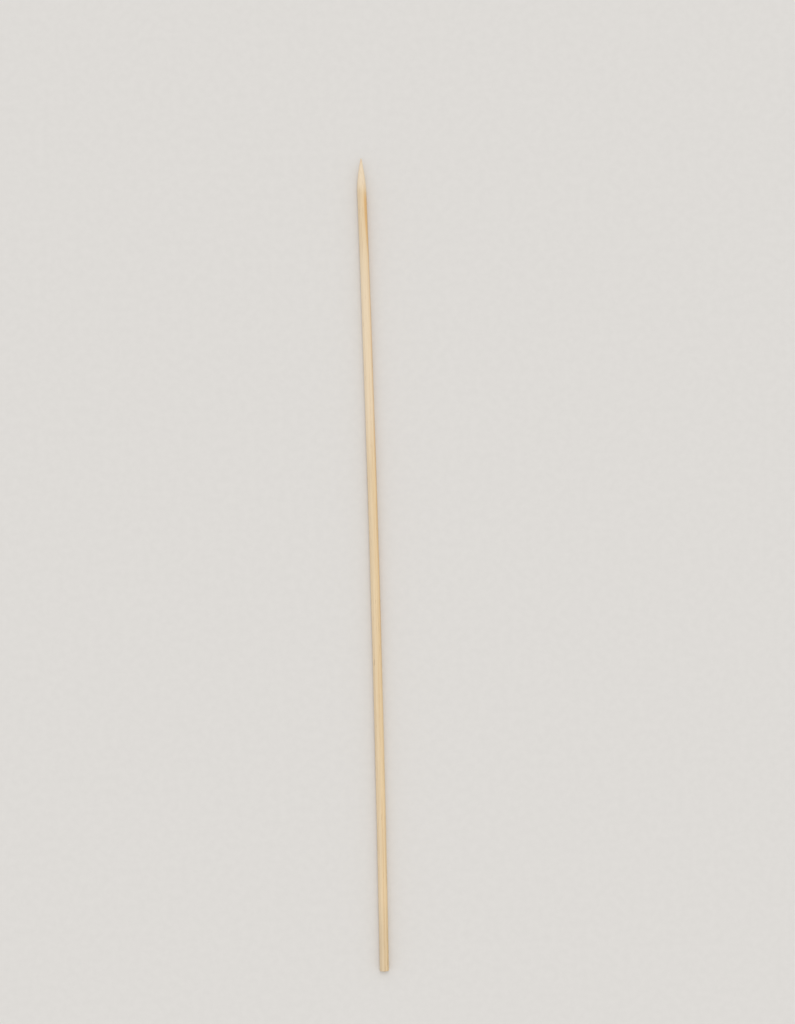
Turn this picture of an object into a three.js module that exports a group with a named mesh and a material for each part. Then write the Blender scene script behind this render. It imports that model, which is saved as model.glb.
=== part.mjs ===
// A bamboo skewer: one long round stick, ground to a point at one end and sawn square at the other.
// Units are millimetres. The stick lies on the plane z = 0, as it comes to rest, with its point towards +Y.
// The origin is on that plane, under the middle of the stick.
import * as THREE from 'three';

// The drawn shaft
const LENGTH = 450; // from the sawn butt to the tip
const DIAMETER = 5; // height of the shaft as it lies
const OUT_OF_ROUND = 0.12; // how much wider than high the section is
const BOW = 1.2; // sideways bow of the middle from the line through both ends

// The ground point
const POINT_LENGTH = 18; // from the tip back to the full section
const TIP_DIAMETER = 0.5; // the tip's blunt end
const TIP_OFFSET = 0.3; // how far the grinding left the tip off the stick's centre line, to one side

// The sawn butt
const BUTT_EDGE = 0.4; // radius of the eased edge

// Form of the point: 1 gives a straight cone, 2 a full round nose
const POINT_FULLNESS = 1.6;

// Fineness of the facets
const SIDES = 56; // round the section, a multiple of 4
const SHAFT_STEPS = 24; // along the shaft
const POINT_STEPS = 18; // along the point
const EDGE_STEPS = 3; // round the butt's eased edge and the tip's end

const radius = DIAMETER / 2;
const tipRadius = TIP_DIAMETER / 2;
const buttY = -LENGTH / 2;
const tipY = LENGTH / 2;
const shoulderY = tipY - POINT_LENGTH; // where the point meets the full section
const edgeY = buttY + BUTT_EDGE; // where the eased edge meets the full section

// A quarter round in the half outline, from the first angle to the last, about a centre
function quarterRound(centreX, centreY, size, firstAngle, lastAngle) {
  const arc = new THREE.EllipseCurve(centreX, centreY, size, size, firstAngle, lastAngle);
  return arc.getPoints(EDGE_STEPS);
}

// Radius of the point at a share of its length back from its blunt end: it swells fast at first,
// then runs out smoothly into the shaft
function pointRadius(share) {
  return tipRadius + (radius - tipRadius) * (1 - (1 - share) ** POINT_FULLNESS);
}

// Half outline of the stick, x out from its centre line and y along it, from the butt to the tip
function halfOutline() {
  const outline = [new THREE.Vector2(0, buttY)];
  outline.push(...quarterRound(radius - BUTT_EDGE, edgeY, BUTT_EDGE, -Math.PI / 2, 0));
  for (let step = 1; step < SHAFT_STEPS; step += 1) {
    outline.push(new THREE.Vector2(radius, THREE.MathUtils.lerp(edgeY, shoulderY, step / SHAFT_STEPS)));
  }
  const noseY = tipY - tipRadius; // where the ground flank ends and the tip's round end starts
  for (let step = 0; step < POINT_STEPS; step += 1) {
    // Steps get shorter towards the tip, where the outline turns fastest
    const share = (1 - step / POINT_STEPS) ** 2;
    outline.push(new THREE.Vector2(pointRadius(share), THREE.MathUtils.lerp(noseY, shoulderY, share)));
  }
  const nose = quarterRound(0, noseY, tipRadius, 0, Math.PI / 2);
  nose[nose.length - 1].x = 0;
  outline.push(...nose);
  return outline;
}

// Sideways place of the centre line at a distance along the stick: a shallow arc whose middle and ends
// lie equally far from x = 0, and a grinding error that grows from the shoulder to the tip
function centreLine(y) {
  const share = y / tipY;
  const bowed = BOW * (0.5 - share * share);
  const ground = Math.max(0, (y - shoulderY) / POINT_LENGTH);
  return bowed + TIP_OFFSET * ground * ground;
}

function skewerGeometry() {
  // Half a side's turn puts a flat facet, and not an edge, at the bottom, where the stick rests
  const geometry = new THREE.LatheGeometry(halfOutline(), SIDES, Math.PI / SIDES);
  const widening = 1 + OUT_OF_ROUND / DIAMETER;
  const places = geometry.attributes.position;
  for (let i = 0; i < places.count; i += 1) {
    places.setX(i, places.getX(i) * widening + centreLine(places.getY(i)));
  }
  geometry.computeVertexNormals();
  return geometry;
}

const bamboo = new THREE.MeshStandardMaterial({
  name: 'bamboo',
  color: new THREE.Color().setRGB(0.875, 0.78, 0.628, THREE.SRGBColorSpace),
  roughness: 0.62,
  metalness: 0,
});

const skewer = new THREE.Mesh(skewerGeometry(), bamboo);
skewer.name = 'skewer';
skewer.position.z = radius * Math.cos(Math.PI / SIDES); // the bottom facet lies on z = 0

const part = new THREE.Group();
part.add(skewer);

export default part;
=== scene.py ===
import math
from types import SimpleNamespace

import bpy
import numpy as np
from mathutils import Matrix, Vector


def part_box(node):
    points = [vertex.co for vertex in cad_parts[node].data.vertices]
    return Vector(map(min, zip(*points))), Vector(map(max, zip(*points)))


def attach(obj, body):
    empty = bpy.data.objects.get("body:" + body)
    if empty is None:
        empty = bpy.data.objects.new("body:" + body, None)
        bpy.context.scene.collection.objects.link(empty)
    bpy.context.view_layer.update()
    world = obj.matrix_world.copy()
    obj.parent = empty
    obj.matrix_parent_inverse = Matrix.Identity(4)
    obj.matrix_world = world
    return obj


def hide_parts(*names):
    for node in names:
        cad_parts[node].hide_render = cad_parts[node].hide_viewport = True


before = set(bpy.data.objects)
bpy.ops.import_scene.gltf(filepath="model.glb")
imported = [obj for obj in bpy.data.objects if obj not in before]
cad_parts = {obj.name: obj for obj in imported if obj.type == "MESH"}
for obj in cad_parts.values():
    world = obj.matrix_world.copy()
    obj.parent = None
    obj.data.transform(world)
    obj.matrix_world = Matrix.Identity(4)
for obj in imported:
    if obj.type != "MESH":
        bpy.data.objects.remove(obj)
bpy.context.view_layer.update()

# Lengths are in millimetres, except where a comment says otherwise. Meshes are made in metres.
MM = 0.001

# Sizes that the solid gives
low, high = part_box("skewer")
BUTT = low.y / MM  # place of the sawn end along the stick
TIP = high.y / MM
RADIUS = (high.z - low.z) / 2 / MM
AXIS_HEIGHT = (high.z + low.z) / 2 / MM  # of the centre line above the floor

# The solid's form
OUT_OF_ROUND = 0.12  # how much wider than high the section is
BOW = 1.2  # sideways bow of the middle from the line through both ends
POINT_LENGTH = 18
POINT_FULLNESS = 1.6  # 1 gives a straight cone, 2 a full round nose
TIP_RADIUS = 0.25
TIP_OFFSET = 0.3  # how far to one side the grinding left the tip
BUTT_EDGE = 0.4  # radius of the eased edge
SHOULDER = TIP - POINT_LENGTH  # where the point meets the full section
WIDENING = 1 + OUT_OF_ROUND / (2 * RADIUS)

# Fineness of the stick's mesh
SIDES = 128
CAP_RINGS = 16
EDGE_RINGS = 6
SHAFT_RINGS = 560
POINT_RINGS = 70
NOSE_RINGS = 5
POINT_CROWDING = 1.4  # above 1, the point's rings crowd towards the tip

# Relief of the drawn shaft
WAVE_PARTS = (1.0, 0.61, 0.37)  # lengths and heights of the waves that a slow wave is made of
WAVE_PEAK = 1.6  # height that their sum seldom passes
RIDGE_DEPTH = 0.05
RIDGE_COUNTS = range(7, 33, 2)  # ridges round the section, from broad to fine
RIDGE_HEIGHTS = (0.5, 1.0)  # of one count of ridges against the others
RIDGE_LENGTHS = (63.0, 126.0)  # over which a ridge wanders
RIDGE_WANDER = 1.8  # how far, in radians of its own wave
RIDGE_MIDDLE = 0.4  # share of the depth at which the surface lies on average
RIDGE_SPREAD = 0.3  # share of the depth by which it usually departs from that
RIDGE_ON_TIP = 0.3  # share of the depth that is left at the tip
UNEVENNESS = 0.03  # slow change of the radius along the stick
UNEVEN_LENGTH = 130.0
PITS = 46  # places where the cutter tore the grain
PIT_DEPTH = (0.03, 0.09)
PIT_LENGTH = (2.0, 11.0)
PIT_WIDTH = (0.24, 0.6)
PIT_STEEP_SHARE = 0.08  # share of its length in which a pit reaches its depth
PIT_RUN_OUT = 1.5  # above 1, a pit gets shallow sooner
PIT_MARGIN = 4  # a pit starts no nearer to the butt, and no further past the shoulder

# Relief of the butt and the tip
SAW_DEPTH = 0.035
SAW_SPACING = 0.62  # between saw marks
SAW_WAY = (0.8, 0.6)  # direction across the saw marks, as shares of X and Z
SAW_WAVER = 1.3  # how far a saw mark wavers, in radians of its own wave
SAW_WAVER_RATE = 1.7  # radians of wavering for each millimetre of height
SAW_SLANT = 0.05  # how far out of square the cut is, across the butt
TIP_CHIP = 0.12  # how much the tip lost on one side
CHIP_LENGTH = 1.0
CHIP_ANGLE = 63.0  # degrees from the underside towards +X

# The stick's side is laid out for its texture in strips that lie side by side
STRIPS = 6
STRIP_TOP = 0.92  # share of the height that the strips take, below the round of the butt
STRIP_GAP = 0.003  # share of the texture that is left free at a strip's edges

# Seeds of the random numbers
STICK_SEED = 7
FIBRE_SEED = 11


# The form

def centre_line(along):
    """Sideways place of the stick's middle at a distance along it."""
    share = along / TIP
    ground = np.clip((along - SHOULDER) / POINT_LENGTH, 0, None)
    return BOW * (0.5 - share**2) + TIP_OFFSET * ground**2


def outline():
    """Rings of the stick from the middle of the butt to the tip: place along it and radius of each."""
    flat = RADIUS - BUTT_EDGE
    cap_radius = flat * np.linspace(1 / CAP_RINGS, 1, CAP_RINGS)
    cap_along = np.full(CAP_RINGS, BUTT)

    turn = np.linspace(0, math.pi / 2, EDGE_RINGS + 1)[1:]
    edge_along = BUTT + BUTT_EDGE * (1 - np.cos(turn))
    edge_radius = flat + BUTT_EDGE * np.sin(turn)

    shaft_along = np.linspace(BUTT + BUTT_EDGE, SHOULDER, SHAFT_RINGS)[1:]
    shaft_radius = np.full(len(shaft_along), RADIUS)

    nose_along = TIP - TIP_RADIUS
    share = np.linspace(1, 0, POINT_RINGS + 1)[1:] ** POINT_CROWDING
    point_along = nose_along + (SHOULDER - nose_along) * share
    swell = 1 - (1 - share) ** POINT_FULLNESS
    point_radius = TIP_RADIUS + (RADIUS - TIP_RADIUS) * swell

    turn = np.linspace(0, math.pi / 2, NOSE_RINGS + 2)[1:-1]
    tip_along = nose_along + TIP_RADIUS * np.sin(turn)
    tip_radius = TIP_RADIUS * np.cos(turn)

    along = np.concatenate([cap_along, edge_along, shaft_along, point_along, tip_along])
    radius = np.concatenate([cap_radius, edge_radius, shaft_radius, point_radius, tip_radius])
    return along, radius


def slow_wave(along, length, random):
    """A smooth unsteady wave along the stick, between about -1 and 1."""
    wave = np.zeros_like(along)
    for part in WAVE_PARTS:
        start = random.uniform(0, 2 * math.pi)
        wave += part * np.cos(2 * math.pi * along / (length * part) + start)
    return wave / WAVE_PEAK


def ridges(along, angle, random):
    """Depth of the soft wood between the fibres that stand proud, from 0 to 1."""
    total = np.zeros(np.broadcast_shapes(along.shape, angle.shape))
    for count in RIDGE_COUNTS:
        wander = RIDGE_WANDER * slow_wave(along, random.uniform(*RIDGE_LENGTHS), random)
        phase = random.uniform(0, 2 * math.pi)
        total += random.uniform(*RIDGE_HEIGHTS) * np.cos(count * angle + phase + wander)
    usual = np.mean(RIDGE_HEIGHTS) * math.sqrt(len(RIDGE_COUNTS) / 2)
    return np.clip(RIDGE_MIDDLE + RIDGE_SPREAD * total / usual, 0, 1)


def torn_pits(along, angle, random):
    """Depth of the narrow pits where fibres were torn out: each starts steeply and runs out slowly."""
    depth = np.zeros(np.broadcast_shapes(along.shape, angle.shape))
    for _ in range(PITS):
        start = random.uniform(BUTT + PIT_MARGIN, SHOULDER + PIT_MARGIN)
        length = random.uniform(*PIT_LENGTH) * random.choice((-1, 1))
        middle = random.uniform(0, 2 * math.pi)
        half_width = random.uniform(*PIT_WIDTH) / 2 / RADIUS
        deepest = random.uniform(*PIT_DEPTH)
        share = np.clip((along - start) / length, 0, 1)
        profile = np.clip(share / PIT_STEEP_SHARE, 0, 1) * (1 - share) ** PIT_RUN_OUT
        aside = (angle - middle + math.pi) % (2 * math.pi) - math.pi
        across = np.clip(1 - (aside / half_width) ** 2, 0, 1) ** 2
        depth += deepest * profile * across
    return depth


def shaft_relief(along, radius, angle):
    """How far the surface lies inside the outline. It fades out over the butt and the ground point."""
    random = np.random.default_rng(STICK_SEED)
    on_shaft = np.clip((along - BUTT) / BUTT_EDGE, 0, 1)
    on_point = np.clip((along - SHOULDER) / POINT_LENGTH, 0, 1)
    slender = on_shaft * radius / RADIUS
    drawn = RIDGE_DEPTH * ridges(along, angle, random) * slender * (1 - (1 - RIDGE_ON_TIP) * on_point)
    torn = torn_pits(along, angle, random) * on_shaft * (1 - on_point)
    uneven = UNEVENNESS * (0.5 + 0.5 * slow_wave(along, UNEVEN_LENGTH, random)) * slender
    return drawn + torn + uneven


def end_relief(along, angle, x, z):
    """How far the saw marks of the butt move a point towards +Y, and the chipped tip towards -Y."""
    place = SAW_WAY[0] * x + SAW_WAY[1] * z
    marks = np.sin(2 * math.pi * place / SAW_SPACING + SAW_WAVER * np.sin(SAW_WAVER_RATE * z))
    sawn = SAW_DEPTH * (0.5 + 0.5 * marks) + SAW_SLANT * (0.5 + 0.5 * x / RADIUS)
    near_butt = np.clip(1 - (along - BUTT) / BUTT_EDGE, 0, 1)
    near_tip = np.clip(1 - (TIP - along) / CHIP_LENGTH, 0, 1) ** 2
    chipped = TIP_CHIP * np.clip(np.cos(angle - math.radians(CHIP_ANGLE)), 0, 1)
    return sawn * near_butt - chipped * near_tip


def stick_surface():
    """The stick's points, x, y and z by ring and side. The stick is straight here, along the line z = 0."""
    along, radius = outline()
    along = along[:, None]
    radius = radius[:, None]
    angle = 2 * math.pi * np.arange(SIDES)[None, :] / SIDES  # from the underside, towards +X
    shrunk = radius - shaft_relief(along, radius, angle)
    x = shrunk * WIDENING * np.sin(angle)
    z = -shrunk * np.cos(angle)
    y = along + end_relief(along, angle, x, z)
    return x, y, z


def bend(straight):
    """Points of the straight stick, in millimetres, brought to where they lie in the frame, in metres."""
    x, y, z = np.transpose(straight)
    return np.stack([x + centre_line(y), y, z + AXIS_HEIGHT], axis=-1) * MM


# The meshes

def add_piece(name, straight, faces, face_maps=None):
    """A smooth piece that rides on the stick's body and keeps its place in the straight stick."""
    mesh = bpy.data.meshes.new(name)
    mesh.from_pydata(bend(straight).tolist(), [], faces)
    mesh.update()
    kept = mesh.attributes.new("straight", "FLOAT_VECTOR", "POINT")
    kept.data.foreach_set("vector", np.asarray(straight, np.float32).ravel())
    if face_maps is not None:
        layer = mesh.uv_layers.new(name="OFBake")
        layer.data.foreach_set("uv", np.asarray(face_maps, np.float32).ravel())
    mesh.shade_smooth()
    piece = bpy.data.objects.new(name, mesh)
    bpy.context.scene.collection.objects.link(piece)
    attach(piece, "root")
    return piece


def cap_map(x, z):
    """Where a point of the butt's round lies in the texture, above the strips."""
    size = (1 - STRIP_TOP) / 2 - STRIP_GAP
    middle = (STRIP_TOP + 1) / 2
    return (0.5 + size * x / (RADIUS * WIDENING), middle + size * z / RADIUS)


def strip_map(run, side, strip, length):
    """Where a point of the stick's side lies in its strip of the texture."""
    across = STRIP_GAP + (1 / STRIPS - 2 * STRIP_GAP) * side / SIDES
    up = STRIP_GAP + (STRIP_TOP - 2 * STRIP_GAP) * run / length
    return (strip / STRIPS + across, up)


def ring_faces(ring):
    """The faces between a ring and the next one, each with its corners as pairs of ring and side."""
    for side in range(SIDES):
        yield (ring, side), (ring + 1, side), (ring + 1, side + 1), (ring, side + 1)


def point_index(ring, side):
    """Index of a ring's point. The side past the full turn is the first one again."""
    return ring * SIDES + side % SIDES


def butt_faces(x, z, middle):
    """The flat butt round the point in its middle, with its corners' places in the texture."""
    faces = []
    maps = []
    for side in range(SIDES):
        after = (side + 1) % SIDES
        faces.append((middle, side, after))
        maps += [cap_map(0, 0), cap_map(x[0, side], z[0, side]), cap_map(x[0, after], z[0, after])]
    for ring in range(CAP_RINGS - 1):
        for corners in ring_faces(ring):
            faces.append([point_index(r, s) for r, s in corners])
            maps += [cap_map(x[r, s % SIDES], z[r, s % SIDES]) for r, s in corners]
    return faces, maps


def side_faces(tip_middle):
    """The stick's side up to the point in the middle of the tip, with its corners' places in the texture."""
    along, radius = outline()
    steps = np.hypot(np.diff(along), np.diff(radius))
    run = np.concatenate([[0], np.cumsum(steps)])
    run -= run[CAP_RINGS - 1]
    length = run[-1] / STRIPS
    room = length + steps.max()
    last = len(along) - 1
    faces = []
    maps = []
    for ring in range(CAP_RINGS - 1, last):
        strip = min(int(run[ring] / length), STRIPS - 1)
        for corners in ring_faces(ring):
            faces.append([point_index(r, s) for r, s in corners])
            maps += [strip_map(run[r] - strip * length, s, strip, room) for r, s in corners]
    for side in range(SIDES):
        faces.append((point_index(last, side), tip_middle, point_index(last, side + 1)))
        maps.append(strip_map(length, side, STRIPS - 1, room))
        maps.append(strip_map(room, side + 0.5, STRIPS - 1, room))
        maps.append(strip_map(length, side + 1, STRIPS - 1, room))
    return faces, maps


def make_stick():
    x, y, z = stick_surface()
    rings = np.stack([x, y, z], axis=-1).reshape(-1, 3)
    butt_middle = len(rings)
    tip_middle = butt_middle + 1
    middles = [(0, y[0].mean(), 0), (0, y[-1].mean(), 0)]
    butt, butt_maps = butt_faces(x, z, butt_middle)
    side, side_maps = side_faces(tip_middle)
    stick = add_piece("bamboo_stick", np.concatenate([rings, middles]), butt + side, butt_maps + side_maps)
    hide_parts("skewer")
    return stick


# Fibres that stand off the surface: place along the stick, angle from the underside towards +X in degrees,
# length (minus towards the butt), how far the free end stands off, and width where it is widest
FIBRES = [
    (46.0, 248, 3.6, 1.15, 0.36),
    (36.5, 242, -2.8, 1.05, 0.30),
    (26.0, 251, 4.0, 1.20, 0.38),
    (-31.0, 256, -2.4, 0.45, 0.22),
    (96.0, 250, 2.8, 0.40, 0.20),
    (-150.0, 104, 3.2, 0.45, 0.22),
    (198.0, 106, 2.8, 0.40, 0.18),
    (205.0, 250, 3.4, 0.35, 0.18),
    (211.0, 168, 2.8, 0.25, 0.16),
    (215.0, 300, 2.2, 0.30, 0.14),
    (-223.6, 300, -1.2, 0.12, 0.12),
    (-223.5, 240, -1.3, 0.10, 0.11),
    (-223.6, 70, -1.2, 0.12, 0.12),
]
FIBRE_RINGS = 18
FIBRE_SIDES = 8
FIBRE_THICKNESS = 0.3  # of its width
FIBRE_SUNK = 0.2  # how deep its root lies in the stick
FIBRE_END = 0.012  # half the width of its free end
FIBRE_TAPER = 0.6  # below 1, it stays wide until near its free end
FIBRE_SWAY = 0.35  # how far to either side its free end may turn
FIBRE_PALENESS = 0.5  # share of the pale colour that is mixed into the wood's


def stick_radius(along):
    """Radius of the stick's outline at a place along it."""
    ring_along, ring_radius = outline()
    return np.interp(along, ring_along[CAP_RINGS:], ring_radius[CAP_RINGS:])


def fibre(along, degrees, length, lift, width, random):
    """A thin sliver that leaves the surface slowly and curls off it: rings of points, towards +Y."""
    share = np.linspace(0, 1, FIBRE_RINGS)[:, None]
    turn = 2 * math.pi * np.arange(FIBRE_SIDES)[None, :] / FIBRE_SIDES
    base = math.radians(degrees)
    sway = random.uniform(-FIBRE_SWAY, FIBRE_SWAY) * share**2
    path_along = along + length * share
    path_out = stick_radius(along) - FIBRE_SUNK * (1 - share) ** 3 + lift * share**2
    half = width / 2 * (1 - share) ** FIBRE_TAPER + FIBRE_END
    outward = path_out + FIBRE_THICKNESS * half * np.sin(turn)
    sideways = sway + half * np.cos(turn)
    x = outward * WIDENING * math.sin(base) + sideways * math.cos(base)
    z = -outward * math.cos(base) + sideways * math.sin(base)
    rings = np.stack(np.broadcast_arrays(x, path_along, z), axis=-1)
    return rings if length > 0 else rings[::-1]


def make_fibres():
    random = np.random.default_rng(FIBRE_SEED)
    straight = []
    faces = []
    for along, degrees, length, lift, width in FIBRES:
        start = len(straight)
        straight += fibre(along, degrees, length, lift, width, random).reshape(-1, 3).tolist()
        for ring in range(FIBRE_RINGS - 1):
            for side in range(FIBRE_SIDES):
                after = (side + 1) % FIBRE_SIDES
                corners = ((ring, after), (ring + 1, after), (ring + 1, side), (ring, side))
                faces.append([start + r * FIBRE_SIDES + s for r, s in corners])
        faces.append(range(start + FIBRE_SIDES - 1, start - 1, -1))
        faces.append(range(len(straight) - FIBRE_SIDES, len(straight)))
    return add_piece("lifted_fibres", straight, faces)


# Nodes

MIX_FIRST = 6  # sockets of a Mix node that mixes colours
MIX_SECOND = 7
MIX_RESULT = 2


class Graph:
    """Short ways to add nodes to a material or a world."""

    def __init__(self, owner):
        owner.use_nodes = True
        self.nodes = owner.node_tree.nodes
        self.links = owner.node_tree.links

    def set(self, socket, value):
        """Links the socket to another socket, or gives it a value."""
        if isinstance(value, bpy.types.NodeSocket):
            self.links.new(value, socket)
        else:
            socket.default_value = value

    def math(self, operation, *values):
        node = self.nodes.new("ShaderNodeMath")
        node.operation = operation
        for socket, value in zip(node.inputs, values):
            self.set(socket, value)
        return node.outputs[0]

    def step(self, value, start, end, low=0.0, high=1.0):
        """Goes smoothly from low to high as the value goes from start to end."""
        node = self.nodes.new("ShaderNodeMapRange")
        node.interpolation_type = "SMOOTHSTEP"
        self.set(node.inputs["Value"], value)
        node.inputs["From Min"].default_value = start
        node.inputs["From Max"].default_value = end
        node.inputs["To Min"].default_value = low
        node.inputs["To Max"].default_value = high
        return node.outputs["Result"]

    def stretch(self, value, start, full, ending, end):
        """1 from full to ending, 0 before start and after end, and smooth in between."""
        return self.math("MULTIPLY", self.step(value, start, full), self.step(value, end, ending))

    def grain(self, place, across, along, detail=2.0, roughness=0.5):
        """Noise whose features measure that many of the place's units across the stick and along it."""
        scaled = self.nodes.new("ShaderNodeVectorMath")
        scaled.operation = "DIVIDE"
        self.set(scaled.inputs[0], place)
        scaled.inputs[1].default_value = (across, along, across)
        noise = self.nodes.new("ShaderNodeTexNoise")
        noise.inputs["Scale"].default_value = 1.0
        noise.inputs["Detail"].default_value = detail
        noise.inputs["Roughness"].default_value = roughness
        self.set(noise.inputs["Vector"], scaled.outputs[0])
        return noise.outputs["Fac"]

    def mix(self, share, first, second):
        node = self.nodes.new("ShaderNodeMix")
        node.data_type = "RGBA"
        self.set(node.inputs["Factor"], share)
        self.set(node.inputs[MIX_FIRST], first)
        self.set(node.inputs[MIX_SECOND], second)
        return node.outputs[MIX_RESULT]

    def brighten(self, tint, factor):
        node = self.nodes.new("ShaderNodeVectorMath")
        node.operation = "SCALE"
        self.set(node.inputs[0], tint)
        self.set(node.inputs["Scale"], factor)
        return node.outputs[0]


# Colours

def colour(red, green, blue):
    """The linear colour of a screen colour from 0 to 255, by the standard curve of screens."""
    shares = [value / 255 for value in (red, green, blue)]
    linear = [s / 12.92 if s <= 0.04045 else ((s + 0.055) / 1.055) ** 2.4 for s in shares]
    return (*linear, 1.0)


INNER_CREAM = colour(228, 206, 172)  # towards the culm's hollow, on the left
RIND_STRAW = colour(232, 205, 162)  # towards the culm's rind, on the right
# also the colour of the painted haze of reflected light over the upper half
PALE_CREAM = colour(240, 223, 198)
FIBRE_TAN = colour(206, 168, 118)
PORE_BROWN = colour(112, 80, 52)
# painted shade with warm reflected light in it, laid as a strip on the right flank
PAINTED_AMBER_SHADE = colour(219, 172, 108)
TIP_TAN = colour(222, 190, 148)
FLOOR_GREY = colour(222, 219, 215)


# The bamboo is a solid pattern that the straight stick is cut from, with the culm's hollow towards -X and its
# rind towards +X

# Grain: width across the stick and length along it
BROAD_GRAIN = (4.0, 50.0)
STREAKS = (0.42, 28.0)
FINE_GRAIN = (0.14, 4.5)
WANDER_ACROSS = (3.3, 77.0)
WANDER_UPWARD = (2.7, 59.0)
OPEN_VESSELS = (0.9, 6.2)
GRINDING = (1.25, 0.11)

# Values of a noise where a change starts and is full. A noise seldom leaves the first two.
FINE_SPAN = (0.2, 0.8)
STREAK_SPAN = (0.25, 0.75)
OPEN_SPAN = (0.58, 0.66)  # above it, vessels are open

# Fibre bundles, as dots on the section
BUNDLE_SPACING = 0.5
BUNDLE_WANDER = 1.1  # how far a bundle may stray from a straight line
RIND_CROWDING = 0.14  # how much closer the bundles get towards the rind
BUNDLE_EDGE = (0.42, 0.18)  # distance from a bundle's middle, in spacings, where it starts and is full
VESSEL_EDGE = (0.17, 0.09)  # the same for the vessels in its middle
PALEST_BUNDLE = 0.15
DARKEST_BUNDLE = 0.75

# From the culm's hollow to its rind
INNER_TO_RIND = (-1.6, 3.2)  # where the inner colour ends and the rind's is full, across the stick
BROAD_SHIFT = 1.2  # how far the broad grain shifts that

# Brightness of the darkest and the palest wood
STREAK_SHADES = (0.93, 1.05)
FINE_SHADES = (0.95, 1.04)
NEAR_BUTT_SHADE = 0.93
SAWN_SHADE = 0.88
SAW_MARK_PAINTED_SHADE = 0.05  # painted shade that lets the saw marks show: how much it changes the brightness

# Places along the stick where something starts, is full, starts to end and ends
HAZE_STRETCH = (45, 90, 150, 195)  # the paler upper half, a painted haze of reflected light
# the strip of painted shade with warm reflected light in it
SHADE_STRIP_STRETCH = (-60, -20, SHOULDER - 6, SHOULDER + 2)

# Places along the stick where something starts and is full
SHADE_STRIP_WIDENS = (SHOULDER - 42, SHOULDER - 7)
GROUND = (SHOULDER - 3, SHOULDER + 6)
SCORED = (SHOULDER - 0.5, SHOULDER + 1.5)
BURNISHED = (TIP - 3, TIP + 1)
DARKER_NEAR_BUTT = (BUTT + 45, BUTT + 15)
SAWN = (BUTT + 0.3, BUTT + 0.05)

# The strip of painted shade with warm reflected light in it, on the right flank, which is also glossier:
# across the stick
SHADE_STRIP_EDGE = (2.0, 3.2)  # where it starts and is full, before it is widened and frayed
SHADE_STRIP_WIDENING = 1.2  # how much wider it gets
SHADE_STRIP_FRAY = 0.8  # how far the streaks shift its edge

BURNISH_FRAY = 2.0  # how far the fine grain shifts the burnished tip's edge

# How strongly each colour shows
PORE_STRENGTH = 0.65
# of the painted haze of reflected light over the upper half
HAZE_STRENGTH = 0.45
GROUND_STRENGTH = 0.6
BURNISHED_STRENGTH = 0.6
# the strip of painted shade with warm reflected light in it
PAINTED_SHADE_STRENGTH = 0.75
END_GRAIN_STRENGTH = 0.7

ROUGHNESS = (0.56, 0.74)
SHADE_STRIP_GLOSS = 0.18  # how much less rough the strip of painted shade is
WOOD_IOR = 1.45
WOOD_SPECULAR = 0.35

# Fine relief: its depth, and the heights of its parts as shares of that
BUMP_DEPTH = 0.03
BUMP_STRENGTH = 0.6
GRAIN_HEIGHT = 0.7
BUNDLE_HEIGHT = 0.35
SCORED_HEIGHT = 0.5


def patterns(g):
    """Where each feature of the bamboo shows. Its colour, gloss and relief share these values."""
    attribute = g.nodes.new("ShaderNodeAttribute")
    attribute.attribute_name = "straight"
    parts = g.nodes.new("ShaderNodeSeparateXYZ")
    g.set(parts.inputs[0], attribute.outputs["Vector"])
    p = SimpleNamespace(place=attribute.outputs["Vector"])
    p.x, p.y, p.z = parts.outputs
    p.broad = g.grain(p.place, *BROAD_GRAIN, detail=3.0)
    p.streaks = g.grain(p.place, *STREAKS, detail=3.0, roughness=0.6)
    p.fine = g.grain(p.place, *FINE_GRAIN, roughness=0.6)
    p.sawn = g.step(p.y, *SAWN)
    # a strip of painted shade with warm reflected light in it, which is also glossier
    p.rind = rind_strip(g, p)
    p.bundle, p.darkness, p.vessel = bundles(g, p)
    return p


def rind_strip(g, p):
    """A strip of painted shade with warm reflected light in it, on the right flank, which is also made
    glossier. It widens up to the shoulder.
    """
    widened = g.math("MULTIPLY_ADD", g.step(p.y, *SHADE_STRIP_WIDENS), SHADE_STRIP_WIDENING, p.x)
    flank = g.step(g.math("MULTIPLY_ADD", p.streaks, SHADE_STRIP_FRAY, widened), *SHADE_STRIP_EDGE)
    return g.math("MULTIPLY", flank, g.stretch(p.y, *SHADE_STRIP_STRETCH))


def bundles(g, p):
    """Fibre bundles, which are streaks on the side and dots on the butt: how far a point is in one, how dark
    that one is, and where its open vessels show."""
    across = g.math("MULTIPLY_ADD", g.grain(p.place, *WANDER_ACROSS), BUNDLE_WANDER, p.x)
    upward = g.math("MULTIPLY_ADD", g.grain(p.place, *WANDER_UPWARD), BUNDLE_WANDER, p.z)
    crowded = g.math("MULTIPLY_ADD", g.math("MULTIPLY", across, across), RIND_CROWDING, across)
    section = g.nodes.new("ShaderNodeCombineXYZ")
    g.set(section.inputs["X"], crowded)
    g.set(section.inputs["Y"], upward)
    cells = g.nodes.new("ShaderNodeTexVoronoi")
    cells.voronoi_dimensions = "2D"
    cells.inputs["Scale"].default_value = 1 / BUNDLE_SPACING
    g.set(cells.inputs["Vector"], section.outputs[0])
    chance = g.nodes.new("ShaderNodeSeparateColor")
    g.set(chance.inputs[0], cells.outputs["Color"])

    distance = cells.outputs["Distance"]
    bundle = g.step(distance, *BUNDLE_EDGE)
    darkness = g.math("MULTIPLY_ADD", chance.outputs[0], DARKEST_BUNDLE - PALEST_BUNDLE, PALEST_BUNDLE)
    opened = g.step(g.grain(p.place, *OPEN_VESSELS, detail=1.0), *OPEN_SPAN)
    vessel = g.math("MULTIPLY", g.step(distance, *VESSEL_EDGE), g.math("MAXIMUM", opened, p.sawn))
    return bundle, darkness, vessel


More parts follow.
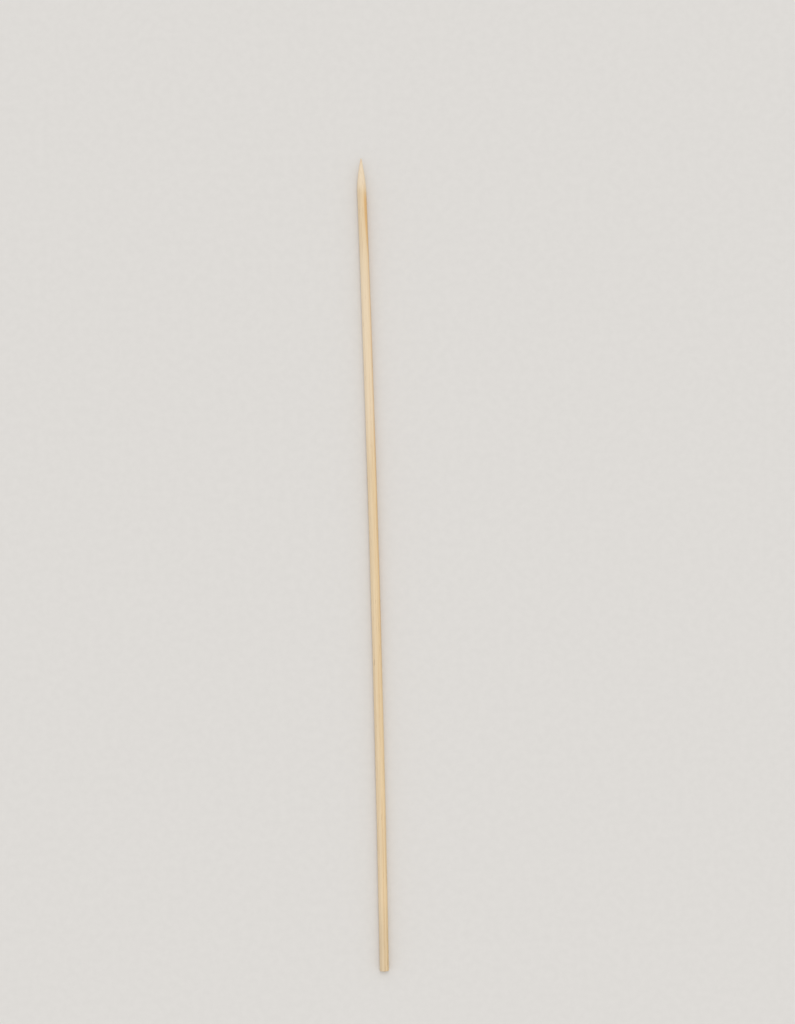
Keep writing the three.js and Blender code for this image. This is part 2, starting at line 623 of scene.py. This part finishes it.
def grown_wood(g, p):
    """Colour of the wood as it grew, with its bundles, streaks, grain and open vessels."""
    towards_rind = g.step(g.math("MULTIPLY_ADD", p.broad, BROAD_SHIFT, p.x), *INNER_TO_RIND)
    wood = g.mix(towards_rind, INNER_CREAM, RIND_STRAW)
    wood = g.mix(g.math("MULTIPLY", p.bundle, p.darkness), wood, FIBRE_TAN)
    wood = g.brighten(wood, g.step(p.streaks, *STREAK_SPAN, *STREAK_SHADES))
    wood = g.brighten(wood, g.step(p.fine, *FINE_SPAN, *FINE_SHADES))
    return g.mix(g.math("MULTIPLY", p.vessel, PORE_STRENGTH), wood, PORE_BROWN)


def shaft_and_point(g, p, wood):
    """The paler upper half under a painted haze of reflected light, the fresh wood of the point, its
    burnished tip, a strip of painted shade with warm reflected light in it, and the darker stretch near the
    butt.
    """
    # a painted haze of reflected light over the upper half
    painted_haze = g.math("MULTIPLY", g.stretch(p.y, *HAZE_STRETCH), HAZE_STRENGTH)
    ground = g.step(p.y, *GROUND, 0.0, GROUND_STRENGTH)
    wood = g.mix(g.math("MAXIMUM", painted_haze, ground), wood, PALE_CREAM)
    frayed = g.math("MULTIPLY_ADD", p.fine, BURNISH_FRAY, p.y)
    burnished = g.step(frayed, *BURNISHED, 0.0, BURNISHED_STRENGTH)
    wood = g.mix(burnished, wood, TIP_TAN)
    # paints shade with warm reflected light in it as a strip on the right flank
    wood = g.mix(g.math("MULTIPLY", p.rind, PAINTED_SHADE_STRENGTH), wood, PAINTED_AMBER_SHADE)
    # darker over the last few centimetres towards the butt
    return g.brighten(wood, g.step(p.y, *DARKER_NEAR_BUTT, 1.0, NEAR_BUTT_SHADE))


def sawn_face(g, p, wood):
    """The end grain of the butt, which is darker, and painted shade along the marks that the saw left on it.
    """
    end_grain = g.math("MULTIPLY", p.bundle, END_GRAIN_STRENGTH)
    wood = g.mix(g.math("MULTIPLY", p.sawn, end_grain), wood, FIBRE_TAN)
    place = g.math("MULTIPLY_ADD", p.x, SAW_WAY[0], g.math("MULTIPLY", p.z, SAW_WAY[1]))
    marks = g.math("SINE", g.math("MULTIPLY", place, 2 * math.pi / SAW_SPACING))
    # the end grain's own darker tone, with painted shade along the saw marks
    tone_and_painted_shade = g.math("MULTIPLY_ADD", marks, SAW_MARK_PAINTED_SHADE, SAWN_SHADE - 1)
    return g.brighten(wood, g.math("MULTIPLY_ADD", p.sawn, tone_and_painted_shade, 1.0))


def fine_relief(g, p):
    """Relief too fine for the mesh: grain, bundles, open vessels and the rings that grinding left."""
    turned = g.grain(p.place, *GRINDING, detail=1.0)
    scored = g.math("MULTIPLY", turned, g.step(p.y, *SCORED, 0.0, SCORED_HEIGHT))
    height = g.math("MULTIPLY_ADD", p.fine, GRAIN_HEIGHT, scored)
    height = g.math("MULTIPLY_ADD", p.bundle, BUNDLE_HEIGHT, height)
    height = g.math("SUBTRACT", height, p.vessel)
    bump = g.nodes.new("ShaderNodeBump")
    bump.inputs["Strength"].default_value = BUMP_STRENGTH
    bump.inputs["Distance"].default_value = BUMP_DEPTH * MM
    g.set(bump.inputs["Height"], height)
    return bump.outputs["Normal"]


def bamboo(name, paleness=0.0):
    """Bamboo with all that its growth, the drawing, the grinding and the saw left on it, and some painted
    shade and painted haze of reflected light.
    """
    material = bpy.data.materials.new(name)
    g = Graph(material)
    p = patterns(g)
    wood = sawn_face(g, p, shaft_and_point(g, p, grown_wood(g, p)))
    if paleness:
        wood = g.mix(paleness, wood, PALE_CREAM)
    shader = g.nodes["Principled BSDF"]
    g.set(shader.inputs["Base Color"], wood)
    dry = g.step(p.fine, *FINE_SPAN, *ROUGHNESS)
    # the strip of painted shade is also made glossier
    g.set(shader.inputs["Roughness"], g.math("MULTIPLY_ADD", p.rind, -SHADE_STRIP_GLOSS, dry))
    g.set(shader.inputs["Normal"], fine_relief(g, p))
    shader.inputs["IOR"].default_value = WOOD_IOR
    shader.inputs["Specular IOR Level"].default_value = WOOD_SPECULAR
    return material


# The floor and the light

FLOOR_SIZE = 60.0  # metres
FLOOR_MOTTLE = 0.004  # metres
FLOOR_SHADES = (0.985, 1.015)
FLOOR_ROUGHNESS = 0.9
FLOOR_SPECULAR = 0.1
SKY_SHARE = 0.8  # of the light on the floor, and the lamp gives the rest
LAMP_TILT = math.radians(25)  # from straight above
LAMP_HEADING = math.radians(80)  # from +X, where the lamp stands
LAMP_WIDTH = math.radians(30)


def make_floor():
    half = FLOOR_SIZE / 2
    corners = [(-half, -half, 0), (half, -half, 0), (half, half, 0), (-half, half, 0)]
    mesh = bpy.data.meshes.new("floor")
    mesh.from_pydata(corners, [], [(0, 1, 2, 3)])
    floor = bpy.data.objects.new("floor", mesh)
    bpy.context.scene.collection.objects.link(floor)
    material = bpy.data.materials.new("floor")
    g = Graph(material)
    coordinates = g.nodes.new("ShaderNodeTexCoord")
    mottle = g.grain(coordinates.outputs["Object"], FLOOR_MOTTLE, FLOOR_MOTTLE, detail=3.0)
    shade = g.step(mottle, *FINE_SPAN, *FLOOR_SHADES)
    shader = g.nodes["Principled BSDF"]
    g.set(shader.inputs["Base Color"], g.brighten(FLOOR_GREY[:3], shade))
    shader.inputs["Roughness"].default_value = FLOOR_ROUGHNESS
    shader.inputs["Specular IOR Level"].default_value = FLOOR_SPECULAR
    mesh.materials.append(material)


def make_sky():
    """Even white light. The camera and reflections see it in the floor's colour."""
    world = bpy.data.worlds.new("sky")
    bpy.context.scene.world = world
    g = Graph(world)
    light = g.nodes["Background"]
    light.inputs["Color"].default_value = (1, 1, 1, 1)
    light.inputs["Strength"].default_value = SKY_SHARE
    backdrop = g.nodes.new("ShaderNodeBackground")
    backdrop.inputs["Color"].default_value = FLOOR_GREY
    path = g.nodes.new("ShaderNodeLightPath")
    seen = g.math("MAXIMUM", path.outputs["Is Camera Ray"], path.outputs["Is Glossy Ray"])
    seen = g.math("MAXIMUM", seen, path.outputs["Is Transmission Ray"])
    chosen = g.nodes.new("ShaderNodeMixShader")
    g.set(chosen.inputs["Fac"], seen)
    g.set(chosen.inputs[1], light.outputs[0])
    g.set(chosen.inputs[2], backdrop.outputs[0])
    g.set(g.nodes["World Output"].inputs["Surface"], chosen.outputs[0])


def make_lamp():
    """A wide soft lamp. With the sky it lights the floor to about its written colour."""
    lamp = bpy.data.lights.new("lamp", "SUN")
    lamp.energy = math.pi * (1 - SKY_SHARE) / math.cos(LAMP_TILT)
    lamp.angle = LAMP_WIDTH
    stand = bpy.data.objects.new("lamp", lamp)
    bpy.context.scene.collection.objects.link(stand)
    level = math.sin(LAMP_TILT)
    towards = Vector((level * math.cos(LAMP_HEADING), level * math.sin(LAMP_HEADING), math.cos(LAMP_TILT)))
    stand.rotation_euler = towards.to_track_quat("Z", "Y").to_euler()


# The camera

IMAGE_SIZE = (795, 1024)
TIP_PIXEL = (361.0, 158.5)
BUTT_PIXEL = (384.4, 971.0)
CAMERA_HEIGHT = 1.6  # metres
SENSOR = 36.0  # along the picture's long side


def make_camera():
    """Straight above, turned and placed so that the tip and the butt fall on their pixels."""
    tip = Vector((centre_line(TIP), TIP)) * MM
    butt = Vector((centre_line(BUTT), BUTT)) * MM
    stick_way = tip - butt
    picture_way = Vector((TIP_PIXEL[0] - BUTT_PIXEL[0], BUTT_PIXEL[1] - TIP_PIXEL[1]))
    pixel = stick_way.length / picture_way.length
    turn = math.atan2(stick_way.y, stick_way.x) - math.atan2(picture_way.y, picture_way.x)
    middle = (Vector(TIP_PIXEL) + Vector(BUTT_PIXEL)) / 2
    right = (IMAGE_SIZE[0] / 2 - middle.x) * pixel
    up = (middle.y - IMAGE_SIZE[1] / 2) * pixel
    right_way = Vector((math.cos(turn), math.sin(turn)))
    up_way = Vector((-math.sin(turn), math.cos(turn)))
    stand = (tip + butt) / 2 + right_way * right + up_way * up

    lens = bpy.data.cameras.new("camera")
    lens.sensor_width = SENSOR
    lens.lens = SENSOR * (CAMERA_HEIGHT - AXIS_HEIGHT * MM) / (IMAGE_SIZE[1] * pixel)
    camera = bpy.data.objects.new("camera", lens)
    bpy.context.scene.collection.objects.link(camera)
    camera.location = (stand.x, stand.y, CAMERA_HEIGHT)
    camera.rotation_euler = (0, 0, turn)
    bpy.context.scene.camera = camera


# The scene

bpy.context.scene.view_settings.view_transform = "Standard"
stick = make_stick()
stick.data.materials.append(bamboo("bamboo"))
fibres = make_fibres()
fibres.data.materials.append(bamboo("pale_bamboo", paleness=FIBRE_PALENESS))
make_floor()
make_sky()
make_lamp()
make_camera()
